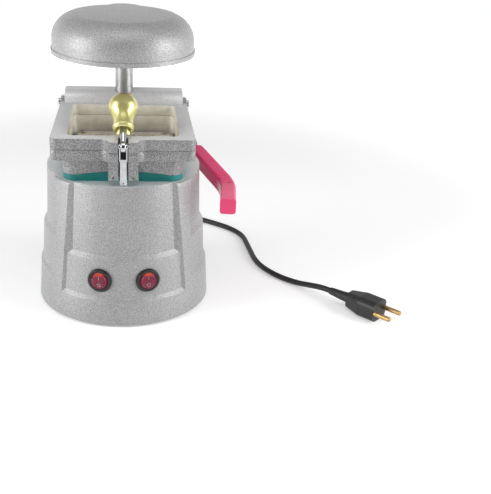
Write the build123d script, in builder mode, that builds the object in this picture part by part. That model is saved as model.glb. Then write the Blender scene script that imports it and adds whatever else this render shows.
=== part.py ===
"""Dental vacuum former: a round cast base with a vacuum motor, a sliding sheet frame on a chrome post,
and a domed heater that swings about the same post. Millimetres, +Z up, origin on the floor at the
centre of the base. Front of the machine faces -Y."""

import os
from math import cos, pi, radians, sin, sqrt, tan

from build123d import *

os.makedirs("parts", exist_ok=True)

# ---- clearances ----
running = 0.05
body_gap = 0.3

# ---- plenum block, forming plate and gasket ----
deck_z = 140.0
plateau_size = 98.0
plateau_corner = 10.0
plateau_height = 16.0
plateau_z = deck_z + plateau_height
plate_rim = 3.0
plate_size = plateau_size - 2 * plate_rim
plate_thickness = 3.0
plate_corner = 7.0
plenum_rim = 7.0
plenum_size = plate_size - 2 * plenum_rim
plenum_depth = 5.0
suction_r = 19.0
plate_screw_edge = 4.5
plate_screw_pitch = plate_size - 2 * plate_screw_edge
plate_screw_r = 1.95
plate_head_r = 3.9
plate_screw_length = 10.0
plate_screw_sink = 0.2
plate_tap_r = 2.0
plate_tap_depth = 8.0
plate_hole_r = 1.3
plate_hole_pitch = 6.4
plate_hole_rows = int(plenum_size / plate_hole_pitch)
block_screw_inset = 19.0
block_screw_pitch = plateau_size - 2 * block_screw_inset
block_screw_r = 2.0
block_screw_grip = 6.0
block_head_height = 2.4
gasket_rim = 6.7
gasket_size = plateau_size + 2 * (body_gap + gasket_rim)
gasket_corner = 12.0
gasket_height = 6.0
gasket_crown = 3.4
crown_inset = 13.0
crown_half = gasket_size / 2 - crown_inset

# ---- post ----
post_r = 9.0
post_bore_r = 6.0
column_r = 13.5
column_gap = 0.5
column_rise = 6.0
column_top_z = deck_z + column_rise
post_y = gasket_size / 2 + column_gap + column_r
post_boss_r = 13.0
post_boss_bottom_z = deck_z - 44.0
post_bottom_z = post_boss_bottom_z + 2.0
post_lock_z = (deck_z - 32.0, deck_z - 16.0)
post_lock_r = 2.5
post_lock_sink = 0.2
bush_wall = 2.0

# ---- base housing ----
housing_z = 2.0
deck_thickness = 6.0
post_margin = 16.0
base_r = post_y + post_margin
base_draft = 8.5
pillar_top_r = base_r - base_draft
wall = 4.5
deck_edge = 4.0
lower_panel_r = (base_r - 4.5, base_r - 6.4)
upper_panel_r = (base_r - 9.7, base_r - 11.6)
front_ledges = (28.0, 70.0)
side_ledges = (40.0, 82.0)
ledge_rise = 4.0
front_panel_face = base_r - 27.0
side_panel_face = base_r - 22.0
panel_sweep = 52.0
pocket_reach = 12.0
base_skin = 5.5
base_inner_r = base_r - base_skin

# ---- sheet frames ----
aperture_gap = 2.5
aperture = plateau_size + 2 * aperture_gap
aperture_corner = 6.0
front_bar = 11.5
frame_front_y = -(aperture / 2 + front_bar)
frame_front_half = aperture / 2 + 15.0
frame_rear_half = aperture / 2 + 12.5
frame_rear_y = post_y + 13.0
frame_corner = 6.0
frame_edge = 0.8
ring_thickness = 10.0
lower_ring_z = (plateau_z + 6.0, plateau_z + 6.0 + ring_thickness)
upper_ring_z = (lower_ring_z[1] + body_gap, lower_ring_z[1] + 2 * body_gap + ring_thickness)
skirt_outer = gasket_size + 1.0
skirt_inner = plateau_size + 6.0
skirt_corner = 8.0
skirt_wall = 4.0
crown_slack = 0.02
sleeve_length = 13.5
lug_half = 13.8
lug_front_y = frame_front_y - 9.0
lug_flare = 7.5
lug_edge = 1.2
slot_half = 4.6
slot_rear_y = frame_front_y + 6.0
slot_over = 2.0

# ---- hinge block ----
bush_length = 8.0
frame_screw_r = 2.5
frame_screw_depth = 14.0
hinge_head_r = 3.5
hinge_head = 2.7
hinge_y = post_y - 1.0
hinge_z = lower_ring_z[1] + 8.5
barrel_r = 13.5
block_half = frame_rear_half - 4.0
block_rear_y = frame_rear_y
block_top_z = hinge_z + barrel_r
block_edge = 3.0
block_lip = 2.0
ear_r = 7.0
ear_gap = 0.4
rail_rear_y = hinge_y - barrel_r - ear_gap
hex_socket_r = 1.9
hex_socket_depth = 1.6
hinge_screw_r = 2.5
hinge_screw_depth = 16.0
frame_screw_x = 22.0

# ---- latch ----
latch_y = lug_front_y + 3.5
latch_z = upper_ring_z[0] + 5.1
latch_pin_r = 1.5
latch_lean = 50.0
lever_eye_r = 5.2
lever_half = 2.4
lever_round = 1.2
stem_r = 2.8
stem_start = 4.2
knob_start = 17.4
knob_length = 35.0
knob_stem_depth = 26.0
knob_base_r = 9.0
knob_foot_r = 8.0
knob_hollow = 9.0
knob_bead_r = 9.9
knob_swell_r = 12.0
knob_shoulder_r = 11.8
knob_cap_r = 7.7
fork_wall = 1.0
fork_eye_r = 3.6
fork_half_depth = 2.5
tongue_half = 3.3
tongue_depth = 4.0
tongue_edge = 0.8
tongue_bottom_z = deck_z + 0.7
tongue_shoulder = 11.5
tongue_groove = 1.1
tongue_groove_depth = 1.4
keeper_bottom_z = deck_z + gasket_height + body_gap
keeper_slot_y = latch_y + 3.5
keeper_rear_y = latch_y + 6.0
keeper_pin_r = 1.2

# ---- handle ----
arm_width = 16.0
arm_thickness = 6.0
arm_head_r = 4.4
arm_head_height = 3.2
arm_head_sink = 0.4
arm_z = deck_z + 2.5
arm_inner_x = 32.0
arm_knee_x = 62.0
arm_outer_x = 77.0
arm_low_z = deck_z - 18.5
arm_ear_height = 16.0
pad_half_y = 9.0
pad_x = (32.0, 58.0)
grip_width = 15.5
grip_height = 15.5
grip_start = (75.2, 61.7, 129.6)
grip_bend = (103.5, -10.5, 116.7)
grip_end = (98.5, -61.0, 116.7)
grip_bend_r = 60.0
grip_round = 3.0
tang_length = 50.0
tang_root = 3.5
tang_r = 4.0
arm_screw_x = (39.0, 51.0)
arm_screw_r = 2.5
arm_screw_depth = 7.0

# ---- lift and heater ----
travel = 40.0
lift_spare = 2.7
collar_r = 15.0
collar_height = 10.0
collar_z = block_top_z + travel + lift_spare
hub_bottom_z = collar_z + collar_height + body_gap
hub_r = 19.2
hub_edge = 2.0
hub_top_z = hub_bottom_z + 31.2
post_top_z = hub_bottom_z + 25.0
swivel_bush_r = 12.0
dome_r = 66.3
dome_bead = 0.9
dome_bead_height = 4.0
dome_rim_z = hub_bottom_z + 2.0
dome_shoulder = 12.0
dome_top_z = dome_rim_z + 36.5
dome_wall = 3.0
dome_boss_top_z = dome_top_z - 2.2
heater_plate_r = 46.0
heater_plate_z = dome_rim_z + 15.0
heater_plate_thickness = 8.0
heater_plate_edge = 1.5
reflector_r = 50.0
reflector_thickness = 1.0
heater_screw_ring = 39.0
element_r = 2.5
element_inner = 11.0
element_step = 4.0
element_turns = 6
element_rise = 13.0
heater_boss_r = 4.0
heater_screw_r = 2.0
heater_screw_grip = 6.0
heater_head_height = 2.4
hub_screw_r = 3.0
hub_screw_z = hub_bottom_z + 15.0
hub_screw_sink = 0.6

# ---- switches ----
switch_angle = 16.5
switch_z = 47.0
switch_flat_r = base_r - 6.8
bezel_r = 11.5
bezel_thickness = 3.2
barrel_hole_r = 10.0
switch_depth = 19.0
rocker_opening_r = 8.7
rocker_r = 8.35
rocker_tilt = 7.0
rocker_sink = 2.0
rocker_face = 3.6
rocker_back = 4.0
rocker_pin_r = 0.9
blade_length = 8.0

# ---- vacuum motor ----
mount_gasket_thickness = 3.0
fan_r = 54.0
fan_bottom_z = deck_z - 36.0
fan_sheet = 1.5
fan_inlet_r = 18.0
flange_thickness = 2.5
motor_r = 41.0
motor_bottom_z = fan_bottom_z - 66.0
motor_wall = 2.0
motor_boss_ring = 62.5
motor_boss_r = 5.0
motor_screw_r = 2.5
shaft_r = 4.0
bearing_r = 11.0
bearing_width = 7.0
bearing_wall = 3.0
commutator_r = 12.0
commutator_length = 6.5
motor_screw_grip = 12.0
armature_r = 23.5
stator_inner_r = 24.5
armature_z = (motor_bottom_z + 19.0, motor_bottom_z + 51.0)
commutator_z = armature_z[0] - 8.5
impeller_r = 49.0
impeller_z = (fan_bottom_z + 3.0, fan_bottom_z + 21.0)

# ---- bottom plate and feet ----
plate_z = 4.0
bottom_thickness = 2.0
fixing_grip = 10.0
tap_spare = 2.0
terminal_length = 30.0
terminal_width = 16.0
terminal_height = 14.0
terminal_hole_r = 2.0
terminal_hole_depth = 5.0
bezel_gap = 0.5
bottom_r = base_inner_r - body_gap
plate_boss_ring = base_r - 10.0
plate_boss_r = 6.0
plate_boss_top_z = 24.0
foot_ring = base_r - 20.0
foot_r = 10.0
foot_screw_r = 2.0
vent_ring = (28.0, 40.0)
foot_recess = 2.0
terminal_spot = (-20.0, 40.0)

# ---- mains lead ----
cord_d = 6.0
gland_x = -34.0
gland_z = 15.0
gland_face_y = base_r - 11.0
gland_nut_r = 7.0
gland_tip_y = gland_face_y + 26.0
gland_wall = 6.0
gland_thread_r = 5.0
coil_x = 9.0
coil_y = gland_tip_y + 54.0
coil_r = 43.0
coil_pitch = 6.5
coil_quarters = 21
cord_lie = 3.2
lead_points = [
    (gland_x, gland_tip_y - 8.0, gland_z),
    (gland_x, gland_tip_y + 13.0, gland_z),
    (gland_x, gland_tip_y + 38.0, cord_lie),
    (gland_x, coil_y, cord_lie),
]
run_points = [
    (coil_x, coil_y + coil_r, cord_lie + coil_pitch),
    (coil_x + 26.0, coil_y + coil_r, cord_lie + coil_pitch),
    (coil_x + 53.0, coil_y + 41.0, cord_lie),
    (coil_x + 81.0, coil_y + 26.0, cord_lie),
    (138.0, 141.0, cord_lie),
    (142.5, 94.0, cord_lie),
    (146.0, 52.0, cord_lie),
    (163.0, 21.0, cord_lie),
    (182.0, 3.0, cord_lie),
    (195.0, -11.0, 7.0),
    (207.0, -24.0, 10.5),
    (214.0, -31.5, 10.5),
]
plug_length = 36.0
plug_width = 25.0
plug_height = 21.0
plug_relief = 24.0
pin_pitch = 19.0
pin_r = 2.4
pin_length = 19.0


def square_ring(outer, outer_corner, inner, inner_corner, z, height):
    """A square tube standing at height z, centred on the base axis."""
    with BuildPart() as ring:
        with BuildSketch(Plane.XY.offset(z)):
            RectangleRounded(outer, outer, outer_corner)
            RectangleRounded(inner, inner, inner_corner, mode=Mode.SUBTRACT)
        extrude(amount=height)
    return ring.part


def crown_cutters(reach, depth, crown, lift):
    """Four arched bars, one along each side of a square of half-width reach, standing on height lift."""
    bars = []
    for side in range(4):
        face = Plane.XZ.offset(reach)
        with BuildPart() as bar:
            with BuildSketch(face):
                with BuildLine():
                    ThreePointArc((-crown_half, lift), (0, lift + crown), (crown_half, lift))
                    Line((crown_half, lift), (-crown_half, lift))
                make_face()
            extrude(amount=-depth)
        bars.append(bar.part.rotate(Axis.Z, 90 * side))
    return bars


def radial_plane(angle):
    """The upright half-plane at an azimuth from +X: its x runs outwards, its y runs up."""
    out = (cos(radians(angle)), sin(radians(angle)), 0)
    return Plane(origin=(0, 0, 0), x_dir=out, z_dir=(out[1], -out[0], 0))


def ring_points(radius, count, start):
    """Points evenly spaced on a circle about the base axis."""
    step = 360 / count
    angles = [radians(start + step * n) for n in range(count)]
    return [(radius * cos(a), radius * sin(a)) for a in angles]


def write(part, name):
    """Labels a finished piece and writes its file."""
    part.label = name
    export_step(part, f"parts/{name}.step")


# ---- housing: cast shell with four stepped panels between pillars ----
def panel_pocket(ledges, middle, face):
    """The space in front of one stepped panel, closed at its sides by a flat at a distance from the axis."""
    out = base_r + pocket_reach
    low, high = ledges
    with BuildPart() as pocket:
        with BuildSketch(radial_plane(middle - panel_sweep)):
            with BuildLine():
                Polyline(
                    (out, low - (out - lower_panel_r[0])),
                    (lower_panel_r[0], low + ledge_rise / 2),
                    (lower_panel_r[1], high - ledge_rise / 2),
                    (upper_panel_r[0], high + ledge_rise / 2),
                    (upper_panel_r[1], deck_z + 1),
                    (out, deck_z + 1),
                    close=True,
                )
            make_face()
        revolve(axis=Axis.Z, revolution_arc=2 * panel_sweep)
        front = radial_plane(middle).x_dir
        with BuildSketch(Plane(origin=front * face, z_dir=front)):
            Rectangle(4 * out, 4 * out)
        extrude(amount=out, mode=Mode.INTERSECT)
    return pocket.part


skirt_bottom_z = deck_z + gasket_height + body_gap
skirt_height = lower_ring_z[0] - skirt_bottom_z
plenum_z = plateau_z - plate_thickness - plenum_depth
switch_azimuths = {"left": -90 - switch_angle, "right": -90 + switch_angle}
motor_bosses = ring_points(motor_boss_ring, 3, 30)
plate_bosses = ring_points(plate_boss_ring, 4, 0)

with BuildPart() as housing:
    with BuildSketch(Plane.XZ):
        with BuildLine():
            Polyline(
                (0, housing_z),
                (base_r, housing_z),
                (pillar_top_r, deck_z),
                (0, deck_z),
                close=True,
            )
        make_face()
    revolve(axis=Axis.Z)
    fillet(housing.edges().group_by(Axis.Z)[-1], deck_edge)
    add(panel_pocket(front_ledges, -90, front_panel_face), mode=Mode.SUBTRACT)
    for azimuth in (0, 90, 180):
        add(panel_pocket(side_ledges, azimuth, side_panel_face), mode=Mode.SUBTRACT)
    with BuildSketch(Plane.XY.offset(housing_z)):
        with Locations((0, post_y)):
            Circle(column_r)
    extrude(amount=column_top_z - housing_z)
    with BuildSketch(Plane.XZ):
        with BuildLine():
            Polyline(
                (0, housing_z - 1),
                (base_inner_r, housing_z - 1),
                (base_inner_r, front_ledges[0] - wall),
                (lower_panel_r[1] - wall, front_ledges[0]),
                (lower_panel_r[1] - wall, front_ledges[1] - ledge_rise - wall / 2),
                (upper_panel_r[1] - wall, front_ledges[1] - ledge_rise / 2),
                (upper_panel_r[1] - wall, deck_z - deck_thickness),
                (0, deck_z - deck_thickness),
                close=True,
            )
        make_face()
    revolve(axis=Axis.Z, mode=Mode.SUBTRACT)
    with BuildSketch(Plane.XY.offset(post_boss_bottom_z)):
        with Locations((0, post_y)):
            Circle(post_boss_r)
    extrude(amount=column_top_z - post_boss_bottom_z)
    with BuildSketch(Plane.XY.offset(fan_bottom_z)):
        with Locations(*motor_bosses):
            Circle(motor_boss_r)
    extrude(amount=deck_z - deck_thickness - fan_bottom_z)
    with BuildSketch(Plane.XY.offset(plate_z + bottom_thickness)):
        with Locations(*plate_bosses):
            Circle(plate_boss_r)
    extrude(amount=plate_boss_top_z - plate_z - bottom_thickness)
    with BuildSketch(Plane.XY.offset(deck_z - deck_thickness)):
        Circle(suction_r)
        with GridLocations(block_screw_pitch, block_screw_pitch, 2, 2):
            Circle(block_screw_r)
    extrude(amount=deck_thickness, mode=Mode.SUBTRACT)
    with Locations((0, post_y, column_top_z)):
        Hole(post_r, depth=column_top_z - post_boss_bottom_z)
    with BuildSketch(Plane.XY.offset(fan_bottom_z)):
        with Locations(*motor_bosses):
            Circle(motor_screw_r)
    extrude(amount=motor_screw_grip + tap_spare, mode=Mode.SUBTRACT)
    with BuildSketch(Plane.XY.offset(plate_z + bottom_thickness)):
        with Locations(*plate_bosses):
            Circle(foot_screw_r)
    extrude(amount=fixing_grip + tap_spare, mode=Mode.SUBTRACT)
    for azimuth in switch_azimuths.values():
        out = radial_plane(azimuth).x_dir
        flat = Plane(origin=out * switch_flat_r + Vector(0, 0, switch_z), x_dir=(-out.Y, out.X, 0), z_dir=out)
        with BuildSketch(flat):
            Circle(bezel_r + bezel_gap)
        extrude(amount=pocket_reach, mode=Mode.SUBTRACT)
        with BuildSketch(flat):
            Circle(barrel_hole_r)
        extrude(amount=-pocket_reach, mode=Mode.SUBTRACT)
    with BuildSketch(Plane.XZ.offset(-gland_face_y + gland_wall)):
        with Locations((gland_x, gland_z)):
            Circle(gland_nut_r + 1.9)
    extrude(amount=-gland_wall)
    with BuildSketch(Plane.XZ.offset(-gland_face_y)):
        with Locations((gland_x, gland_z)):
            Circle(gland_nut_r + 0.8)
    extrude(amount=-14.0, mode=Mode.SUBTRACT)
    with BuildSketch(Plane.XZ.offset(-gland_face_y)):
        with Locations((gland_x, gland_z)):
            Circle(gland_thread_r + running)
    extrude(amount=20.0, mode=Mode.SUBTRACT)
    with BuildSketch(Plane.XZ.offset(-post_y)):
        with Locations(*[(0, z) for z in post_lock_z]):
            Circle(post_lock_r)
    extrude(amount=post_boss_r + 1, mode=Mode.SUBTRACT)
write(housing.part, "housing")

# ---- plenum block: machined block on the deck, with the suction chamber under the plate ----
with BuildPart() as plenum_block:
    with BuildSketch(Plane.XY.offset(deck_z)):
        RectangleRounded(plateau_size, plateau_size, plateau_corner)
    extrude(amount=plateau_height)
    with BuildSketch(Plane.XY.offset(plateau_z)):
        RectangleRounded(plate_size + 2 * running, plate_size + 2 * running, plate_corner)
    extrude(amount=-plate_thickness, mode=Mode.SUBTRACT)
    with BuildSketch(Plane.XY.offset(plenum_z)):
        RectangleRounded(plenum_size, plenum_size, plate_corner)
    extrude(amount=plenum_depth, mode=Mode.SUBTRACT)
    with BuildSketch(Plane.XY.offset(deck_z)):
        Circle(suction_r)
    extrude(amount=plenum_z - deck_z, mode=Mode.SUBTRACT)
    with BuildSketch(Plane.XY.offset(deck_z)):
        with GridLocations(block_screw_pitch, block_screw_pitch, 2, 2):
            Circle(block_screw_r)
    extrude(amount=block_screw_grip, mode=Mode.SUBTRACT)
    with BuildSketch(Plane.XY.offset(plateau_z - plate_thickness)):
        with GridLocations(plate_screw_pitch, plate_screw_pitch, 2, 2):
            Circle(plate_tap_r)
    extrude(amount=-plate_tap_depth, mode=Mode.SUBTRACT)
write(plenum_block.part, "plenum_block")

with BuildPart() as block_screws:
    with BuildSketch(Plane.XY.offset(deck_z - deck_thickness)):
        with GridLocations(block_screw_pitch, block_screw_pitch, 2, 2):
            Circle(block_screw_r)
    extrude(amount=deck_thickness + block_screw_grip - 1)
    with BuildSketch(Plane.XY.offset(deck_z - deck_thickness)):
        with GridLocations(block_screw_pitch, block_screw_pitch, 2, 2):
            Circle(2 * block_screw_r)
    extrude(amount=-block_head_height)
write(block_screws.part, "block_screws")


# ---- forming plate: perforated, countersunk at its corners ----
with BuildPart() as forming_plate:
    with BuildSketch(Plane.XY.offset(plateau_z)):
        RectangleRounded(plate_size, plate_size, plate_corner)
        with GridLocations(plate_hole_pitch, plate_hole_pitch, plate_hole_rows, plate_hole_rows):
            Circle(plate_hole_r, mode=Mode.SUBTRACT)
    extrude(amount=-plate_thickness)
    with BuildSketch(Plane.XY.offset(plateau_z - plate_thickness)):
        with GridLocations(plate_screw_pitch, plate_screw_pitch, 2, 2):
            Circle(plate_screw_r + running)
    extrude(amount=plate_thickness, mode=Mode.SUBTRACT)
    with BuildSketch(Plane.XY.offset(plateau_z)):
        with GridLocations(plate_screw_pitch, plate_screw_pitch, 2, 2):
            Circle(plate_head_r + running)
    extrude(amount=running - (plate_head_r - plate_screw_r), taper=45, mode=Mode.SUBTRACT)
write(forming_plate.part, "forming_plate")

with BuildPart() as plate_screws:
    with BuildSketch(Plane.XY.offset(plateau_z - plate_screw_length)):
        with GridLocations(plate_screw_pitch, plate_screw_pitch, 2, 2):
            Circle(plate_screw_r)
    extrude(amount=plate_screw_length - plate_screw_sink)
    with BuildSketch(Plane.XY.offset(plateau_z - plate_screw_sink)):
        with GridLocations(plate_screw_pitch, plate_screw_pitch, 2, 2):
            Circle(plate_head_r - plate_screw_sink)
    extrude(amount=-(plate_head_r - plate_screw_r - plate_screw_sink), taper=45)
    with BuildSketch(Plane.XY.offset(plateau_z - plate_screw_sink)):
        with GridLocations(plate_screw_pitch, plate_screw_pitch, 2, 2):
            Rectangle(plate_head_r * 1.3, plate_head_r / 4)
            Rectangle(plate_head_r / 4, plate_head_r * 1.3)
    extrude(amount=-plate_head_r / 3, mode=Mode.SUBTRACT)
write(plate_screws.part, "plate_screws")

# ---- gasket: silicone seal round the plateau, arched along each side ----
gasket_inner = plateau_size + 2 * body_gap
with BuildPart() as gasket:
    add(square_ring(gasket_size, gasket_corner, gasket_inner, plateau_corner, deck_z, gasket_height))
    for bar in crown_cutters(gasket_size / 2, gasket_rim, gasket_crown, deck_z + gasket_height):
        add(bar)
write(gasket.part, "gasket")

# ---- post: chrome tube clamped in the rear column, with a stop collar ----
with BuildPart() as post:
    with BuildSketch(Plane.XY.offset(post_bottom_z)):
        with Locations((0, post_y)):
            Circle(post_r)
            Circle(post_bore_r, mode=Mode.SUBTRACT)
    extrude(amount=post_top_z - post_bottom_z)
write(post.part, "post")

with BuildPart() as post_lock_screws:
    with BuildSketch(Plane.XZ.offset(-(post_y - post_r))):
        with Locations(*[(0, z) for z in post_lock_z]):
            Circle(post_lock_r)
    extrude(amount=post_boss_r - post_r - post_lock_sink)
write(post_lock_screws.part, "post_lock_screws")

with BuildPart() as stop_collar:
    with BuildSketch(Plane.XY.offset(collar_z)):
        with Locations((0, post_y)):
            Circle(collar_r)
            Circle(post_r, mode=Mode.SUBTRACT)
    extrude(amount=collar_height)
write(stop_collar.part, "stop_collar")


# ---- sheet frames ----
def frame_outline(rear_y, corner):
    """Plan of a sheet frame: tapered sides, a slotted lug at the front and an opening for the sheet."""
    taper = (frame_front_half - frame_rear_half) / (frame_rear_y - frame_front_y)
    rear_half = frame_front_half - taper * (rear_y - frame_front_y)
    with BuildSketch() as plan:
        with BuildLine():
            Polyline(
                (-rear_half, rear_y),
                (-frame_front_half, frame_front_y),
                (-lug_half, frame_front_y),
                (-lug_half, lug_front_y),
                (lug_half, lug_front_y),
                (lug_half, frame_front_y),
                (frame_front_half, frame_front_y),
                (rear_half, rear_y),
                close=True,
            )
        make_face()
        corners = plan.vertices()
        lugs = corners.filter_by(lambda v: abs(abs(v.X) - lug_half) < 0.01)
        fillet(lugs.filter_by(lambda v: abs(v.Y - frame_front_y) < 0.01), lug_flare)
        fillet(plan.vertices().filter_by(lambda v: abs(v.Y - lug_front_y) < 0.01), lug_edge)
        fillet(plan.vertices().filter_by(lambda v: abs(abs(v.X) - frame_front_half) < 0.01), frame_corner)
        if corner > 0:
            fillet(plan.vertices().filter_by(lambda v: abs(v.Y - rear_y) < 0.01), corner)
    return plan.sketch


with BuildPart() as lower_frame:
    with BuildSketch(Plane.XY.offset(lower_ring_z[0])):
        add(frame_outline(frame_rear_y, frame_corner))
    extrude(amount=lower_ring_z[1] - lower_ring_z[0])
    outer_corner = skirt_corner + skirt_wall
    add(square_ring(skirt_outer, outer_corner, skirt_inner, skirt_corner, skirt_bottom_z, skirt_height))
    for bar in crown_cutters(skirt_outer / 2 + 1, 2 * skirt_wall, gasket_crown, skirt_bottom_z - crown_slack):
        add(bar, mode=Mode.SUBTRACT)
    with BuildSketch(Plane.XY.offset(lower_ring_z[0])):
        with Locations((0, post_y)):
            Circle(column_r)
    extrude(amount=-sleeve_length)
    with BuildSketch(Plane.XY.offset(lower_ring_z[1])):
        RectangleRounded(aperture, aperture, aperture_corner)
    extrude(amount=lower_ring_z[0] - lower_ring_z[1], mode=Mode.SUBTRACT)
    with BuildSketch(Plane.XY.offset(lower_ring_z[1])):
        with Locations((0, post_y)):
            Circle(post_r + body_gap)
        with Locations((-frame_screw_x, post_y), (frame_screw_x, post_y)):
            Circle(frame_screw_r)
    extrude(amount=lower_ring_z[0] - lower_ring_z[1] - sleeve_length, mode=Mode.SUBTRACT)
    with BuildSketch(Plane.XY.offset(lower_ring_z[0])):
        with Locations(*[(x, post_y) for x in arm_screw_x]):
            Circle(arm_screw_r)
    extrude(amount=arm_screw_depth, mode=Mode.SUBTRACT)
    with BuildSketch(Plane.XY.offset(lower_ring_z[1])):
        with Locations((0, (slot_rear_y + lug_front_y - slot_over) / 2)):
            Rectangle(2 * slot_half, slot_rear_y - lug_front_y + slot_over)
    extrude(amount=lower_ring_z[0] - lower_ring_z[1], mode=Mode.SUBTRACT)
write(lower_frame.part, "lower_frame")

with BuildPart() as latch_keeper:
    with BuildSketch(Plane.XY.offset(keeper_bottom_z)):
        with BuildLine():
            Polyline(
                (-lug_half, lug_front_y),
                (-slot_half, lug_front_y),
                (-slot_half, keeper_slot_y),
                (slot_half, keeper_slot_y),
                (slot_half, lug_front_y),
                (lug_half, lug_front_y),
                (lug_half, keeper_rear_y),
                (-lug_half, keeper_rear_y),
                close=True,
            )
        make_face()
    extrude(amount=lower_ring_z[0] - keeper_bottom_z)
    for side in (-1, 1):
        with BuildSketch(Plane.XZ.offset(-lug_front_y)):
            with Locations((side * (lug_half + slot_half) / 2, keeper_bottom_z + 2 * keeper_pin_r)):
                Circle(keeper_pin_r)
        extrude(amount=-1.0, mode=Mode.SUBTRACT)
write(latch_keeper.part, "latch_keeper")

with BuildPart() as upper_frame:
    with BuildSketch(Plane.XY.offset(upper_ring_z[0])):
        add(frame_outline(hinge_y, 0))
    extrude(amount=upper_ring_z[1] - upper_ring_z[0])
    fillet(upper_frame.edges().group_by(Axis.Z)[-1].filter_by(lambda e: e.center().Y < hinge_y - 1), frame_edge)
    with BuildSketch(Plane.XY.offset(upper_ring_z[1])):
        RectangleRounded(aperture, aperture, aperture_corner)
        with Locations((0, rail_rear_y + 20)):
            Rectangle(2 * (block_half + ear_gap), 40)
        with Locations((0, (slot_rear_y + lug_front_y - slot_over) / 2)):
            Rectangle(2 * slot_half, slot_rear_y - lug_front_y + slot_over)
    extrude(amount=upper_ring_z[0] - upper_ring_z[1], mode=Mode.SUBTRACT)
    with BuildSketch(Plane.YZ.offset(-block_half - ear_gap)):
        with Locations((hinge_y, hinge_z)):
            Circle(barrel_r + ear_gap)
    extrude(amount=2 * (block_half + ear_gap), mode=Mode.SUBTRACT)
    for side in (-1, 1):
        with BuildSketch(Plane.YZ.offset(side * (block_half + ear_gap))):
            with Locations((hinge_y, hinge_z)):
                Circle(ear_r)
        extrude(amount=side * (frame_rear_half - block_half - ear_gap))
    with BuildSketch(Plane.YZ.offset(-frame_front_half)):
        with Locations((hinge_y, hinge_z)):
            Circle(hinge_screw_r + running)
    extrude(amount=2 * frame_front_half, mode=Mode.SUBTRACT)
    with BuildSketch(Plane.YZ.offset(-lug_half - 2)):
        with Locations((latch_y, latch_z)):
            Circle(latch_pin_r)
    extrude(amount=2 * lug_half + 4, mode=Mode.SUBTRACT)
write(upper_frame.part, "upper_frame")

# ---- hinge block: slides on the post and carries both frames ----
with BuildPart() as hinge_block:
    with BuildSketch(Plane.YZ.offset(-block_half)):
        drop = hinge_z - lower_ring_z[1]
        front = hinge_y - sqrt(barrel_r**2 - drop**2)
        with BuildLine():
            Line((block_rear_y, lower_ring_z[1]), (front, lower_ring_z[1]))
            ThreePointArc((front, lower_ring_z[1]), (hinge_y - barrel_r, hinge_z), (hinge_y, block_top_z))
            Line((hinge_y, block_top_z), (block_rear_y, block_top_z))
            Line((block_rear_y, block_top_z), (block_rear_y, lower_ring_z[1]))
        make_face()
    extrude(amount=2 * block_half)
    fillet(hinge_block.edges().filter_by(Axis.X).group_by(Axis.Y)[-1], block_edge)
    with BuildSketch(Plane.XY.offset(lower_ring_z[1])):
        with Locations((0, post_y)):
            Circle(post_r + bush_wall)
    extrude(amount=block_top_z - block_lip - lower_ring_z[1], mode=Mode.SUBTRACT)
    with BuildSketch(Plane.XY.offset(block_top_z)):
        with Locations((0, post_y)):
            Circle(post_r + body_gap)
    extrude(amount=-block_lip, mode=Mode.SUBTRACT)
    with BuildSketch(Plane.XY.offset(lower_ring_z[1])):
        with Locations((-frame_screw_x, post_y), (frame_screw_x, post_y)):
            Circle(frame_screw_r)
    extrude(amount=frame_screw_depth, mode=Mode.SUBTRACT)
    for side in (-1, 1):
        with BuildSketch(Plane.YZ.offset(side * block_half)):
            with Locations((hinge_y, hinge_z)):
                Circle(hinge_screw_r)
        extrude(amount=-side * hinge_screw_depth, mode=Mode.SUBTRACT)
write(hinge_block.part, "hinge_block")

with BuildPart() as slide_bushes:
    for z in (block_top_z - block_lip - bush_length, lower_ring_z[1]):
        with BuildSketch(Plane.XY.offset(z)):
            with Locations((0, post_y)):
                Circle(post_r + bush_wall)
                Circle(post_r + running, mode=Mode.SUBTRACT)
        extrude(amount=bush_length)
write(slide_bushes.part, "slide_bushes")

with BuildPart() as frame_bolts:
    with BuildSketch(Plane.XY.offset(lower_ring_z[0])):
        with Locations((-frame_screw_x, post_y), (frame_screw_x, post_y)):
            Circle(frame_screw_r)
    extrude(amount=lower_ring_z[1] - lower_ring_z[0] + frame_screw_depth - 1)
    with BuildSketch(Plane.XY.offset(lower_ring_z[0])):
        with Locations((-frame_screw_x, post_y), (frame_screw_x, post_y)):
            Circle(frame_screw_r + 2)
    extrude(amount=-4)
write(frame_bolts.part, "frame_bolts")

with BuildPart() as hinge_screws:
    for side in (-1, 1):
        with BuildSketch(Plane.YZ.offset(side * (block_half - hinge_screw_depth + 1))):
            with Locations((hinge_y, hinge_z)):
                Circle(hinge_screw_r)
        extrude(amount=side * (hinge_screw_depth - 1 + frame_rear_half - block_half + body_gap))
        with BuildSketch(Plane.YZ.offset(side * (frame_rear_half + body_gap))):
            with Locations((hinge_y, hinge_z)):
                Circle(hinge_head_r)
        extrude(amount=side * hinge_head)
        with BuildSketch(Plane.YZ.offset(side * (frame_rear_half + body_gap + hinge_head))):
            with Locations((hinge_y, hinge_z)):
                RegularPolygon(hex_socket_r, 6)
        extrude(amount=-side * hex_socket_depth, mode=Mode.SUBTRACT)
write(hinge_screws.part, "hinge_screws")

# ---- latch: a brass knob on a forked lever, and a tongue hung from the same pin ----
lean = radians(latch_lean)
lever_dir = Vector(0, sin(lean), cos(lean))
latch_pivot = Vector(0, latch_y, latch_z)
lever_plane = Plane(origin=latch_pivot, x_dir=(1, 0, 0), z_dir=lever_dir)
side_plane = Plane(origin=latch_pivot, x_dir=(0, 1, 0), z_dir=(1, 0, 0))

with BuildPart() as latch_pin:
    with BuildSketch(side_plane.offset(-lug_half)):
        Circle(latch_pin_r)
    extrude(amount=2 * lug_half)
write(latch_pin.part, "latch_pin")

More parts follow.
